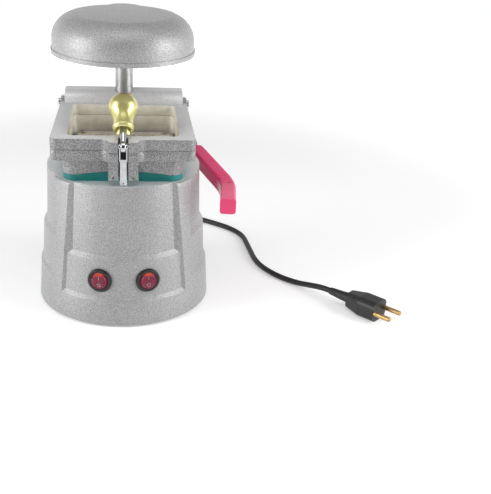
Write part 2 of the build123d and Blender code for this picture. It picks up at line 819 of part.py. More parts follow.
with BuildPart() as lever_eye:
    with BuildSketch(side_plane.offset(-lever_half)):
        Circle(lever_eye_r)
    extrude(amount=2 * lever_half)
    fillet(lever_eye.edges().filter_by(GeomType.CIRCLE), lever_round)

with BuildPart() as latch_lever:
    add(lever_eye.part)
    with BuildSketch(lever_plane.offset(stem_start)):
        Circle(stem_r)
    extrude(amount=knob_start + knob_stem_depth - stem_start)
    with BuildSketch(side_plane.offset(-lever_half)):
        Circle(latch_pin_r + running)
    extrude(amount=2 * lever_half, mode=Mode.SUBTRACT)
write(latch_lever.part, "latch_lever")

knob_plane = Plane(origin=latch_pivot, x_dir=(1, 0, 0), z_dir=Vector(1, 0, 0).cross(lever_dir))
knob_top = knob_start + knob_length
knob_socket = knob_start + knob_stem_depth
with BuildPart() as latch_knob:
    with BuildSketch(knob_plane):
        with BuildLine():
            Polyline(
                (stem_r, knob_socket),
                (stem_r, knob_start + knob_hollow),
                (knob_foot_r, knob_start),
                (knob_base_r, knob_start + 0.8),
                (knob_base_r, knob_start + 1.2),
            )
            ThreePointArc(
                (knob_base_r, knob_start + 1.2),
                (knob_bead_r, knob_start + 3.6),
                (knob_base_r, knob_start + 6.0),
            )
            waist = TangentArc(
                (knob_base_r, knob_start + 6.0),
                (knob_swell_r, knob_start + 20.0),
                tangent=(-0.09, 1),
            )
            swell = TangentArc(
                (knob_swell_r, knob_start + 20.0),
                (knob_shoulder_r, knob_start + 32.0),
                tangent=waist % 1,
            )
            TangentArc(
                (knob_shoulder_r, knob_start + 32.0),
                (knob_cap_r + 0.4, knob_top - 1.2),
                tangent=swell % 1,
            )
            Polyline(
                (knob_cap_r + 0.4, knob_top - 1.2),
                (knob_cap_r, knob_top - 1.2),
                (knob_cap_r, knob_top - 0.5),
                (knob_cap_r - 0.5, knob_top),
                (0, knob_top),
                (0, knob_socket),
                (stem_r, knob_socket),
            )
        make_face()
    revolve(axis=Axis(latch_pivot, lever_dir))
write(latch_knob.part, "latch_knob")

fork_inner = lever_half + body_gap
with BuildPart() as latch_tongue:
    for side in (-1, 1):
        with BuildSketch(side_plane.offset(side * fork_inner)):
            Circle(fork_eye_r)
            with Locations((0, -tongue_shoulder / 2 - 1)):
                Rectangle(2 * fork_half_depth, tongue_shoulder + 2)
            Circle(latch_pin_r + running, mode=Mode.SUBTRACT)
        extrude(amount=side * fork_wall)
    with BuildSketch(Plane.XY.offset(latch_z - tongue_shoulder)):
        with Locations((0, latch_y)):
            RectangleRounded(2 * tongue_half, tongue_depth, tongue_edge)
    extrude(amount=tongue_bottom_z - latch_z + tongue_shoulder)
    with BuildSketch(Plane.XZ.offset(-latch_y + tongue_depth / 2)):
        with Locations((0, (tongue_bottom_z + latch_z - tongue_shoulder) / 2)):
            Rectangle(tongue_groove, latch_z - tongue_shoulder - tongue_bottom_z - 3)
    extrude(amount=-tongue_groove_depth, mode=Mode.SUBTRACT)
write(latch_tongue.part, "latch_tongue")


# ---- handle: steel arm under the lower frame, with a plastic grip on its tang ----
grip_rear = Vector(*grip_start)
grip_corner = Vector(*grip_bend)
grip_front = Vector(*grip_end)
rear_dir = (grip_rear - grip_corner).normalized()
front_dir = (grip_front - grip_corner).normalized()
turn = 180 - rear_dir.get_angle(front_dir)
tangent_length = grip_bend_r * tan(radians(turn / 2))
inwards = (rear_dir + front_dir).normalized()
bend_centre = grip_corner + inwards * (grip_bend_r / cos(radians(turn / 2)))
bend_middle = bend_centre - inwards * grip_bend_r
arm_front_y = post_y - arm_width / 2

with BuildPart() as lift_arm:
    with BuildSketch(Plane.XY.offset(arm_z)):
        with Locations(((arm_inner_x + arm_knee_x) / 2, post_y)):
            Rectangle(arm_knee_x - arm_inner_x, arm_width)
    extrude(amount=arm_thickness)
    with BuildSketch(Plane.XY.offset(arm_z)):
        with Locations((sum(pad_x) / 2, post_y)):
            Rectangle(pad_x[1] - pad_x[0], 2 * pad_half_y)
    extrude(amount=lower_ring_z[0] - arm_z)
    with BuildSketch(Plane.XY.offset(arm_low_z)):
        with Locations((arm_knee_x - arm_thickness / 2, post_y)):
            Rectangle(arm_thickness, arm_width)
    extrude(amount=arm_z - arm_low_z)
    with BuildSketch(Plane.XY.offset(arm_low_z)):
        with Locations(((arm_knee_x + arm_outer_x) / 2, post_y)):
            Rectangle(arm_outer_x - arm_knee_x, arm_width)
    extrude(amount=arm_thickness)
    with BuildSketch(Plane.XY.offset(arm_low_z)):
        with Locations((arm_outer_x - arm_thickness / 2, post_y)):
            Rectangle(arm_thickness, arm_width)
    extrude(amount=arm_ear_height)
    with BuildSketch(Plane(origin=grip_rear - rear_dir * tang_length, z_dir=rear_dir)):
        Circle(tang_r)
    extrude(amount=tang_length + tang_root)
    with BuildSketch(Plane.XY.offset(arm_z)):
        with Locations(*[(x, post_y) for x in arm_screw_x]):
            Circle(arm_screw_r)
    extrude(amount=lower_ring_z[0] - arm_z, mode=Mode.SUBTRACT)
    with BuildSketch(Plane.XY.offset(arm_z)):
        with Locations(*[(x, post_y) for x in arm_screw_x]):
            Circle(arm_head_r + 0.1)
    extrude(amount=arm_head_sink + arm_head_height, mode=Mode.SUBTRACT)
write(lift_arm.part, "lift_arm")

with BuildPart() as arm_screws:
    with BuildSketch(Plane.XY.offset(arm_z + arm_head_sink)):
        with Locations(*[(x, post_y) for x in arm_screw_x]):
            Circle(arm_head_r)
    extrude(amount=arm_head_height)
    with BuildSketch(Plane.XY.offset(arm_z + arm_head_sink + arm_head_height)):
        with Locations(*[(x, post_y) for x in arm_screw_x]):
            Circle(arm_screw_r)
    extrude(amount=lower_ring_z[0] + arm_screw_depth - 1 - arm_z - 3.6)
write(arm_screws.part, "arm_screws")

with BuildPart() as handle_grip:
    with BuildLine() as grip_path:
        Line(grip_front, grip_corner + front_dir * tangent_length)
        ThreePointArc(
            grip_corner + front_dir * tangent_length,
            bend_middle,
            grip_corner + rear_dir * tangent_length,
        )
        Line(grip_corner + rear_dir * tangent_length, grip_rear + rear_dir * 8)
    grip_side = Vector(0, 0, 1).cross(front_dir)
    with BuildSketch(Plane(origin=grip_front, x_dir=grip_side, z_dir=-front_dir)):
        RectangleRounded(grip_width, grip_height, grip_round)
    sweep(path=grip_path.line)
    split(bisect_by=Plane.XZ.offset(-arm_front_y + body_gap), keep=Keep.TOP)
    with BuildSketch(Plane(origin=grip_rear - rear_dir * tang_length, z_dir=rear_dir)):
        Circle(tang_r)
    extrude(amount=tang_length + tang_root, mode=Mode.SUBTRACT)
write(handle_grip.part, "handle_grip")


# ---- heater: dome on a hub that turns about the post, with its element beneath ----
def biarc(start, start_dir, end, end_dir):
    """Two tangent arcs from start to end: gives the point where they meet."""
    across = end - start
    both = start_dir + end_dir
    lead = across.dot(both)
    spare = 1 - start_dir.dot(end_dir)
    length = (sqrt(lead**2 + 2 * spare * across.dot(across)) - lead) / (2 * spare)
    return (start + end + (start_dir - end_dir) * length) * 0.5


def dome_solid(reach, low, rise, top):
    """A solid dome: an upright skirt, then a rounded shoulder and a nearly flat crown."""
    middle = biarc(Vector(reach, 0, rise), Vector(0, 0, 1), Vector(0, 0, top), Vector(-1, 0, 0))
    with BuildPart() as solid:
        with BuildSketch(Plane.XZ):
            with BuildLine(Plane.XZ):
                Line((0, low), (reach, low))
                Line((reach, low), (reach, rise))
                shoulder = TangentArc((reach, rise), (middle.X, middle.Z), tangent=(0, 1))
                heading = shoulder % 1
                TangentArc((middle.X, middle.Z), (0, top), tangent=(heading.X, heading.Z))
                Line((0, top), (0, low))
            make_face()
        revolve(axis=Axis.Z)
    return solid.part


dome_rise_z = dome_rim_z + dome_shoulder
boss_z = heater_plate_z + heater_plate_thickness + reflector_thickness
heater_bosses = ring_points(heater_screw_ring, 4, 45)
with BuildPart() as hub:
    with BuildSketch(Plane.XY.offset(hub_bottom_z)):
        with Locations((0, post_y)):
            Circle(hub_r)
    extrude(amount=hub_top_z - hub_bottom_z)
    fillet(hub.edges().group_by(Axis.Z)[-1], hub_edge)

with BuildPart() as dome:
    add(dome_solid(dome_r, dome_rim_z, dome_rise_z, dome_top_z))
    with BuildSketch(Plane.XY.offset(dome_rim_z)):
        Circle(dome_r + dome_bead)
    extrude(amount=dome_bead_height)
    add(dome_solid(dome_r - dome_wall, dome_rim_z - 1, dome_rise_z, dome_top_z - dome_wall), mode=Mode.SUBTRACT)
    add(hub.part)
    with BuildSketch(Plane.XY.offset(boss_z)):
        with Locations(*heater_bosses):
            Circle(heater_boss_r)
    extrude(amount=dome_boss_top_z - boss_z)
    with BuildSketch(Plane.XY.offset(hub_bottom_z)):
        with Locations((0, post_y)):
            Circle(swivel_bush_r)
    extrude(amount=post_top_z + 2 - hub_bottom_z, mode=Mode.SUBTRACT)
    with BuildSketch(Plane.XY.offset(boss_z)):
        with Locations(*heater_bosses):
            Circle(heater_screw_r)
    extrude(amount=heater_screw_grip, mode=Mode.SUBTRACT)
    with BuildSketch(Plane.XZ.offset(-post_y - hub_r)):
        with Locations((0, hub_screw_z)):
            Circle(hub_screw_r)
    extrude(amount=hub_r - swivel_bush_r + 1, mode=Mode.SUBTRACT)
write(dome.part, "dome")

with BuildPart() as hub_screw:
    with BuildSketch(Plane.XZ.offset(-post_y - hub_r + hub_screw_sink)):
        with Locations((0, hub_screw_z)):
            Circle(hub_screw_r)
    extrude(amount=hub_r - swivel_bush_r - hub_screw_sink - 0.1)
    with BuildSketch(Plane.XZ.offset(-post_y - hub_r + hub_screw_sink)):
        with Locations((0, hub_screw_z)):
            RegularPolygon(hub_screw_r * 0.6, 6)
    extrude(amount=hex_socket_depth, mode=Mode.SUBTRACT)
write(hub_screw.part, "hub_screw")

with BuildPart() as swivel_bush:
    with BuildSketch(Plane.XY.offset(hub_bottom_z)):
        with Locations((0, post_y)):
            Circle(swivel_bush_r)
            Circle(post_r + running, mode=Mode.SUBTRACT)
    extrude(amount=post_top_z - hub_bottom_z)
write(swivel_bush.part, "swivel_bush")


def element_solid(radius):
    """The heating element: half turns that widen step by step, with both ends turned up."""
    with BuildPart() as tube:
        with BuildLine() as route:
            for half in range(element_turns):
                span = element_inner + element_step * half
                side = 1 if half % 2 == 0 else -1
                centre = -side * element_step / 2
                ThreePointArc(
                    (centre + side * span, 0, heater_plate_z),
                    (centre, side * span, heater_plate_z),
                    (centre - side * span, 0, heater_plate_z),
                )
        ends = [route.line @ 0, route.line @ 1]
        with BuildSketch(Plane(origin=ends[0], x_dir=(1, 0, 0), z_dir=route.line % 0)):
            Circle(radius)
        sweep(path=route.line)
        for end in ends:
            with Locations(end):
                Sphere(radius)
            with BuildSketch(Plane.XY.offset(heater_plate_z)):
                with Locations((end.X, end.Y)):
                    Circle(radius)
            extrude(amount=element_rise)
    return tube.part


element_ends = [
    (element_inner - element_step / 2, 0),
    (element_inner + element_step * (element_turns - 0.5), 0),
]
with BuildPart() as element:
    add(element_solid(element_r))
write(element.part, "element")

with BuildPart() as heater_plate:
    with BuildSketch(Plane.XY.offset(heater_plate_z)):
        Circle(heater_plate_r)
        with Locations(*heater_bosses):
            Circle(heater_screw_r, mode=Mode.SUBTRACT)
    extrude(amount=heater_plate_thickness)
    chamfer(heater_plate.edges().filter_by(GeomType.CIRCLE).sort_by(SortBy.LENGTH)[-1], 1.5)
    add(element_solid(element_r + running), mode=Mode.SUBTRACT)
write(heater_plate.part, "heater_plate")

with BuildPart() as reflector:
    with BuildSketch(Plane.XY.offset(heater_plate_z + heater_plate_thickness)):
        Circle(reflector_r)
        with Locations(*heater_bosses):
            Circle(heater_screw_r, mode=Mode.SUBTRACT)
        with Locations(*element_ends):
            Circle(element_r + 1, mode=Mode.SUBTRACT)
    extrude(amount=reflector_thickness)
write(reflector.part, "reflector")

with BuildPart() as heater_screws:
    with BuildSketch(Plane.XY.offset(heater_plate_z)):
        with Locations(*heater_bosses):
            Circle(heater_screw_r)
    extrude(amount=boss_z + heater_screw_grip - 1 - heater_plate_z)
    with BuildSketch(Plane.XY.offset(heater_plate_z)):
        with Locations(*heater_bosses):
            Circle(heater_screw_r + 1.5)
    extrude(amount=-heater_head_height)
write(heater_screws.part, "heater_screws")


# ---- switches: round rockers in the lower front panel ----
def switch_plane(azimuth, reach):
    """The upright plane facing outwards at an azimuth, with its x along the panel and its y up."""
    out = radial_plane(azimuth).x_dir
    return Plane(origin=out * reach + Vector(0, 0, switch_z), x_dir=(-out.Y, out.X, 0), z_dir=out)


pivot_r = switch_flat_r + bezel_thickness - rocker_sink
for side, azimuth in switch_azimuths.items():
    flat = switch_plane(azimuth, switch_flat_r)
    pivot = switch_plane(azimuth, pivot_r)
    with BuildPart() as switch_body:
        with BuildSketch(flat):
            Circle(bezel_r)
        extrude(amount=bezel_thickness)
        fillet(switch_body.edges().filter_by(GeomType.CIRCLE).sort_by_distance(flat.offset(50).origin)[0], 0.9)
        with BuildSketch(flat):
            Circle(barrel_hole_r - running)
        extrude(amount=-switch_depth)
        with BuildSketch(flat.offset(bezel_thickness)):
            Circle(rocker_opening_r)
        extrude(amount=-(rocker_sink + rocker_opening_r), mode=Mode.SUBTRACT)
        with BuildSketch(flat.offset(-switch_depth)):
            with Locations((-3.5, 0), (3.5, 0)):
                Rectangle(0.8, 6.3)
        extrude(amount=-blade_length)
        with BuildSketch(Plane(origin=pivot.origin, x_dir=pivot.y_dir, z_dir=pivot.x_dir).offset(-bezel_r + 1.2)):
            Circle(rocker_pin_r)
        extrude(amount=2 * bezel_r - 2.4, mode=Mode.SUBTRACT)
    write(switch_body.part, f"switch_{side}")

    face = pivot.rotated((rocker_tilt, 0, 0))
    with BuildPart() as rocker:
        with BuildSketch(face.offset(-rocker_back)):
            Circle(rocker_r)
        extrude(amount=rocker_back + rocker_face)
        with BuildPart(face, mode=Mode.PRIVATE) as ball:
            Sphere(rocker_r)
        add(ball.part, mode=Mode.INTERSECT)
        with BuildSketch(face.offset(rocker_face)):
            with Locations((0, -3.6)):
                Circle(1.9)
                Circle(1.25, mode=Mode.SUBTRACT)
            with Locations((0, 3.8)):
                Rectangle(0.7, 3.2)
        extrude(amount=-0.35, mode=Mode.SUBTRACT)
        with BuildSketch(Plane(origin=pivot.origin, x_dir=pivot.y_dir, z_dir=pivot.x_dir).offset(-rocker_r - 1)):
            Circle(rocker_pin_r + running)
        extrude(amount=2 * rocker_r + 2, mode=Mode.SUBTRACT)
    write(rocker.part, f"rocker_{side}")

with BuildPart() as rocker_pins:
    for azimuth in switch_azimuths.values():
        pivot = switch_plane(azimuth, pivot_r)
        with BuildSketch(Plane(origin=pivot.origin, x_dir=pivot.y_dir, z_dir=pivot.x_dir).offset(-bezel_r + 1.4)):
            Circle(rocker_pin_r)
        extrude(amount=2 * bezel_r - 2.8)
write(rocker_pins.part, "rocker_pins")

# ---- vacuum motor: hung under the deck by a flange on three bosses ----
deck_under_z = deck_z - deck_thickness
with BuildPart() as motor_gasket:
    with BuildSketch(Plane.XY.offset(deck_under_z - mount_gasket_thickness)):
        Circle(suction_r + 11)
        Circle(suction_r + 1, mode=Mode.SUBTRACT)
    extrude(amount=mount_gasket_thickness)
write(motor_gasket.part, "motor_gasket")

fan_top_z = deck_under_z - mount_gasket_thickness
with BuildPart() as fan_casing:
    with BuildSketch(Plane.XY.offset(fan_bottom_z)):
        Circle(fan_r)
    extrude(amount=fan_top_z - fan_bottom_z)
    with BuildSketch(Plane.XY.offset(fan_bottom_z + fan_sheet)):
        Circle(fan_r - fan_sheet)
    extrude(amount=fan_top_z - fan_bottom_z - 2 * fan_sheet, mode=Mode.SUBTRACT)
    with BuildSketch(Plane.XY.offset(fan_top_z)):
        Circle(fan_inlet_r)
    extrude(amount=-fan_sheet, mode=Mode.SUBTRACT)
    with BuildSketch(Plane.XY.offset(fan_bottom_z)):
        Circle(bearing_r + bearing_wall + 1)
    extrude(amount=fan_sheet, mode=Mode.SUBTRACT)
    for turned in range(0, 360, 45):
        with BuildSketch(Plane.XY.offset(fan_bottom_z + 6)):
            with Locations((fan_r * cos(radians(turned)), fan_r * sin(radians(turned)))):
                Rectangle(14, 14, rotation=turned)
        extrude(amount=11, mode=Mode.SUBTRACT)
write(fan_casing.part, "fan_casing")

flange_z = fan_bottom_z - flange_thickness
with BuildPart() as motor_flange:
    with BuildSketch(Plane.XY.offset(flange_z)):
        Circle(fan_r)
        with Locations(*motor_bosses):
            Circle(motor_boss_r + 1)
        for spot in motor_bosses:
            with BuildLine():
                Line((0, 0), spot)
            trace(line_width=2 * motor_boss_r + 2)
    extrude(amount=flange_thickness)
    with BuildSketch(Plane.XY.offset(fan_bottom_z)):
        Circle(bearing_r + bearing_wall)
    extrude(amount=-flange_thickness - bearing_width - 1)
    with BuildSketch(Plane.XY.offset(fan_bottom_z)):
        Circle(shaft_r + 2)
    extrude(amount=-flange_thickness - bearing_width - 1, mode=Mode.SUBTRACT)
    with BuildSketch(Plane.XY.offset(flange_z - bearing_width - 1)):
        Circle(bearing_r)
    extrude(amount=bearing_width + 1, mode=Mode.SUBTRACT)
    with BuildSketch(Plane.XY.offset(flange_z)):
        with Locations(*motor_bosses):
            Circle(motor_screw_r)
    extrude(amount=flange_thickness, mode=Mode.SUBTRACT)
write(motor_flange.part, "motor_flange")

with BuildPart() as motor_screws:
    with BuildSketch(Plane.XY.offset(flange_z)):
        with Locations(*motor_bosses):
            Circle(motor_screw_r)
    extrude(amount=flange_thickness + motor_screw_grip)
    with BuildSketch(Plane.XY.offset(flange_z)):
        with Locations(*motor_bosses):
            Circle(motor_screw_r + 1.8)
    extrude(amount=-3)
write(motor_screws.part, "motor_screws")

with BuildPart() as motor_can:
    with BuildSketch(Plane.XY.offset(motor_bottom_z)):
        Circle(motor_r)
    extrude(amount=flange_z - motor_bottom_z)
    with BuildSketch(Plane.XY.offset(motor_bottom_z + motor_wall)):
        Circle(motor_r - motor_wall)
    extrude(amount=flange_z - motor_bottom_z, mode=Mode.SUBTRACT)
    with BuildSketch(Plane.XY.offset(motor_bottom_z + motor_wall)):
        Circle(bearing_r + bearing_wall)
        Circle(bearing_r, mode=Mode.SUBTRACT)
    extrude(amount=bearing_width)
    with BuildSketch(Plane.XY.offset(motor_bottom_z)):
        Circle(shaft_r + 2)
    extrude(amount=motor_wall, mode=Mode.SUBTRACT)
write(motor_can.part, "motor_can")

with BuildPart() as bearings:
    for z in (motor_bottom_z + motor_wall, flange_z - bearing_width):
        with BuildSketch(Plane.XY.offset(z)):
            Circle(bearing_r)
            Circle(shaft_r + running, mode=Mode.SUBTRACT)
        extrude(amount=bearing_width)
write(bearings.part, "bearings")

with BuildPart() as stator:
    with BuildSketch(Plane.XY.offset(armature_z[0])):
        Circle(motor_r - motor_wall)
        Circle(stator_inner_r, mode=Mode.SUBTRACT)
    extrude(amount=armature_z[1] - armature_z[0])
    with BuildSketch(Plane.XY.offset(armature_z[0] - 3)):
        Circle(stator_inner_r + 10)
        Circle(stator_inner_r + 2, mode=Mode.SUBTRACT)
    extrude(amount=armature_z[1] - armature_z[0] + 6)
write(stator.part, "stator")

with BuildPart() as brushes:
    for side in (-1, 1):
        reach = motor_r - motor_wall - commutator_r - body_gap
        middle = commutator_r + body_gap + reach / 2
        with BuildSketch(Plane.XY.offset(commutator_z + 1)):
            with Locations((side * middle, 0)):
                Rectangle(reach - 0.6, 6)
        extrude(amount=commutator_length - 2)
write(brushes.part, "brushes")

with BuildPart() as motor_shaft:
    with BuildSketch(Plane.XY.offset(motor_bottom_z + motor_wall)):
        Circle(shaft_r)
    extrude(amount=impeller_z[1] + 1 - motor_bottom_z - motor_wall)
write(motor_shaft.part, "motor_shaft")

with BuildPart() as armature:
    with BuildSketch(Plane.XY.offset(armature_z[0])):
        Circle(armature_r)
        with PolarLocations(armature_r, 12):
            Rectangle(5, 2.4, mode=Mode.SUBTRACT)
    extrude(amount=armature_z[1] - armature_z[0])
    with BuildSketch(Plane.XY.offset(commutator_z)):
        Circle(commutator_r)
    extrude(amount=armature_z[0] - commutator_z)
    with BuildSketch(Plane.XY.offset(commutator_z)):
        Circle(shaft_r)
    extrude(amount=armature_z[1] - commutator_z, mode=Mode.SUBTRACT)
write(armature.part, "armature")

with BuildPart() as impeller:
    for z in (impeller_z[0], impeller_z[1] - fan_sheet):
        with BuildSketch(Plane.XY.offset(z)):
            Circle(impeller_r)
        extrude(amount=fan_sheet)
    with BuildSketch(Plane.XY.offset(impeller_z[1])):
        Circle(fan_inlet_r)
    extrude(amount=-fan_sheet, mode=Mode.SUBTRACT)
    with BuildSketch(Plane.XY.offset(impeller_z[0])):
        Circle(shaft_r + 4)
        with PolarLocations(impeller_r * 0.62, 7):
            Rectangle(impeller_r * 0.7, 1.5, rotation=28)
    extrude(amount=impeller_z[1] - impeller_z[0] - fan_sheet)
    with BuildSketch(Plane.XY.offset(impeller_z[0])):
        Circle(shaft_r)
    extrude(amount=impeller_z[1] - impeller_z[0], mode=Mode.SUBTRACT)
write(impeller.part, "impeller")

# ---- bottom plate, feet and mains terminal ----
foot_spots = ring_points(foot_ring, 4, 45)
with BuildPart() as bottom_plate:
    with BuildSketch(Plane.XY.offset(plate_z)):
        Circle(bottom_r)
        with Locations(*foot_spots, *plate_bosses):
            Circle(foot_screw_r, mode=Mode.SUBTRACT)
        for ring in vent_ring:
            with PolarLocations(ring, 12):
                SlotOverall(8, 3, rotation=90, mode=Mode.SUBTRACT)
    extrude(amount=bottom_thickness)
write(bottom_plate.part, "bottom_plate")

with BuildPart() as plate_fixings:
    with BuildSketch(Plane.XY.offset(plate_z)):
        with Locations(*plate_bosses):
            Circle(foot_screw_r)
    extrude(amount=bottom_thickness + fixing_grip)
    with BuildSketch(Plane.XY.offset(plate_z)):
        with Locations(*plate_bosses):
            Circle(foot_screw_r + 1.6)
    extrude(amount=-1.6)
write(plate_fixings.part, "plate_fixings")

with BuildPart() as feet:
    with BuildSketch():
        with Locations(*foot_spots):
            Circle(foot_r)
            Circle(foot_screw_r, mode=Mode.SUBTRACT)
    extrude(amount=plate_z)
    with BuildSketch():
        with Locations(*foot_spots):
            Circle(foot_screw_r + 2.4)
    extrude(amount=foot_recess, mode=Mode.SUBTRACT)
write(feet.part, "feet")

with BuildPart() as foot_screws:
    with BuildSketch(Plane.XY.offset(foot_recess)):
        with Locations(*foot_spots):
            Circle(foot_screw_r)
    extrude(amount=plate_z + bottom_thickness - foot_recess + 4)
    with BuildSketch(Plane.XY.offset(foot_recess)):
        with Locations(*foot_spots):
            Circle(foot_screw_r + 2)
    extrude(amount=-1.4)
    with BuildSketch(Plane.XY.offset(plate_z + bottom_thickness)):
        with Locations(*foot_spots):
            RegularPolygon(foot_screw_r + 2, 6)
    extrude(amount=3)
write(foot_screws.part, "foot_screws")

with BuildPart() as terminal_block:
    with BuildSketch(Plane.XY.offset(plate_z + bottom_thickness)):
        with Locations(terminal_spot):
            Rectangle(terminal_length, terminal_width)
    extrude(amount=terminal_height)
    with BuildSketch(Plane.XY.offset(plate_z + bottom_thickness + terminal_height)):
        with Locations(terminal_spot):
            with GridLocations(terminal_length / 3, terminal_width / 2, 3, 2):
                Circle(terminal_hole_r)
    extrude(amount=-terminal_hole_depth, mode=Mode.SUBTRACT)
write(terminal_block.part, "terminal_block")

# ---- mains lead: gland, free cord with its put-away coil, and plug ----
gland_face = Plane.XZ.offset(-gland_face_y)
with BuildPart() as cord_gland:
    with BuildSketch(gland_face):
        with Locations((gland_x, gland_z)):
            Circle(gland_thread_r)
    extrude(amount=gland_wall + 6)
    with BuildSketch(gland_face):
        with Locations((gland_x, gland_z)):
            Circle(gland_nut_r)
    extrude(amount=-4)
    with BuildSketch(gland_face.offset(-4)):
        with Locations((gland_x, gland_z)):
            Circle(gland_thread_r)
    with BuildSketch(gland_face.offset(gland_face_y - gland_tip_y)):
        with Locations((gland_x, gland_z)):
            Circle(cord_d / 2 + 0.9)
    loft()
    with BuildSketch(gland_face.offset(gland_face_y - gland_tip_y)):
        with Locations((gland_x, gland_z)):
            Circle(cord_d / 2)
    extrude(amount=gland_tip_y - lead_points[0][1], mode=Mode.SUBTRACT)
write(cord_gland.part, "cord_gland")

with BuildPart() as gland_nut:
    with BuildSketch(gland_face.offset(gland_wall)):
        with Locations((gland_x, gland_z)):
            RegularPolygon(gland_nut_r, 6)
            Circle(gland_thread_r, mode=Mode.SUBTRACT)
    extrude(amount=5)
write(gland_nut.part, "gland_nut")


def corner_radii(points):
    """The radius at each corner of a cord's route: as large as its two runs allow."""
    spots = [Vector(*point) for point in points]
    radii = []
    for before, here, after in zip(spots, spots[1:], spots[2:]):
        bend = (here - before).get_angle(after - here)
        shorter = min((here - before).length, (after - here).length)
        radii.append(0.45 * shorter / tan(radians(bend / 2)))
    return radii


def cord_tube(points, name):
    """A stretch of cord along hand-placed points, with its corners rounded."""
    radii = corner_radii(points)
    with BuildPart() as tube:
        with BuildLine() as route:
            FilletPolyline(*points, radius=radii)
        line = route.wire()
        with BuildSketch(Plane(origin=line @ 0, z_dir=line % 0)):
            Circle(cord_d / 2)
        sweep(path=line)
    section_volume = pi * (cord_d / 2) ** 2 * line.length
    print(name, "length", round(line.length), "radii", [round(r) for r in radii])
    print(name, "volume ratio", round(tube.part.volume / section_volume, 4), tube.part.is_valid)
    write(tube.part, name)
    return line.length


def coil_state(quarter):
    """Place and heading on the coil after some quarter turns: in, up a layer, and out again."""
    reverse = coil_quarters / 2
    depth = min(quarter, coil_quarters - quarter)
    reach = coil_r - coil_pitch * depth / 4
    slope = (-1 if quarter < reverse else 1) * coil_pitch / 4
    share = min(max((quarter - reverse + 1) / 2, 0), 1)
    height = cord_lie + coil_pitch * share**2 * (3 - 2 * share)
    climb = coil_pitch * 6 * share * (1 - share) / 2
    angle = pi - quarter * pi / 2
    place = Vector(coil_x + reach * cos(angle), coil_y + reach * sin(angle), height)
    swing = reach * pi / 2
    ahead = Vector(
        slope * cos(angle) + swing * sin(angle),
        slope * sin(angle) - swing * cos(angle),
        climb,
    )
    if quarter == 0:
        ahead = Vector(0, 1, 0)
    if quarter == coil_quarters:
        ahead = Vector(1, 0, 0)
    return place, ahead.normalized()


with BuildPart() as cord_coil:
    with BuildLine() as coil_route:
        for quarter in range(coil_quarters):
            start, start_dir = coil_state(quarter)
            end, end_dir = coil_state(quarter + 1)
            middle = biarc(start, start_dir, end, end_dir)
            first_arc = TangentArc(start, middle, tangent=start_dir)
            TangentArc(middle, end, tangent=first_arc % 1)
    coil_line = coil_route.wire()
    with BuildSketch(Plane(origin=coil_line @ 0, z_dir=coil_line % 0)):
        Circle(cord_d / 2)
    sweep(path=coil_line)
write(cord_coil.part, "cord_coil")
coil_length = coil_line.length
samples = [coil_line @ (n / 600) for n in range(601)]
step_length = coil_length / 600
apart = int(2.5 * cord_d / step_length) + 1
gaps = [
    (a - b).length - cord_d for n, a in enumerate(samples) for b in samples[n + apart:]
]
print("coil length", round(coil_length), "least gap", round(min(gaps), 2), "turns", coil_quarters / 4)
coil_volume = pi * (cord_d / 2) ** 2 * coil_length
print("coil volume ratio", round(cord_coil.part.volume / coil_volume, 4), cord_coil.part.is_valid)

lead_length = cord_tube(lead_points, "cord_lead")
run_length = cord_tube(run_points, "cord_run")
print("cord total length", round(lead_length + coil_length + run_length))

plug_start = Vector(*run_points[-1])
plug_dir = (plug_start - Vector(*run_points[-2])).normalized()
plug_side = Vector(0, 0, 1).cross(plug_dir)
plug_plane = Plane(origin=plug_start, x_dir=plug_side, z_dir=plug_dir)
with BuildPart() as mains_plug:
    with BuildSketch(plug_plane):
        Circle(cord_d / 2 + 0.8)
    with BuildSketch(plug_plane.offset(plug_relief)):
        Circle(cord_d / 2 + 2.6)
    loft()
    with BuildSketch(plug_plane.offset(plug_relief)):
        RectangleRounded(plug_width * 0.62, plug_height * 0.8, 5)
    with BuildSketch(plug_plane.offset(plug_relief + plug_length * 0.45)):
        RectangleRounded(plug_width, plug_height, 7)
    loft()
    with BuildSketch(plug_plane.offset(plug_relief + plug_length * 0.45)):
        RectangleRounded(plug_width, plug_height, 7)
    extrude(amount=plug_length * 0.55)
write(mains_plug.part, "mains_plug")

with BuildPart() as plug_pins:
    pin_plane = plug_plane.offset(plug_relief + plug_length)
    with BuildSketch(pin_plane):
        with Locations((-pin_pitch / 2, 0), (pin_pitch / 2, 0)):
            Circle(pin_r)
    extrude(amount=pin_length)
    fillet(plug_pins.edges().filter_by(GeomType.CIRCLE).sort_by_distance(pin_plane.offset(4 * pin_length).origin)[:2], pin_r / 2)
write(plug_pins.part, "plug_pins")
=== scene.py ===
from math import cos, pi, radians, sin

import bmesh
import bpy
from mathutils import Matrix, Vector


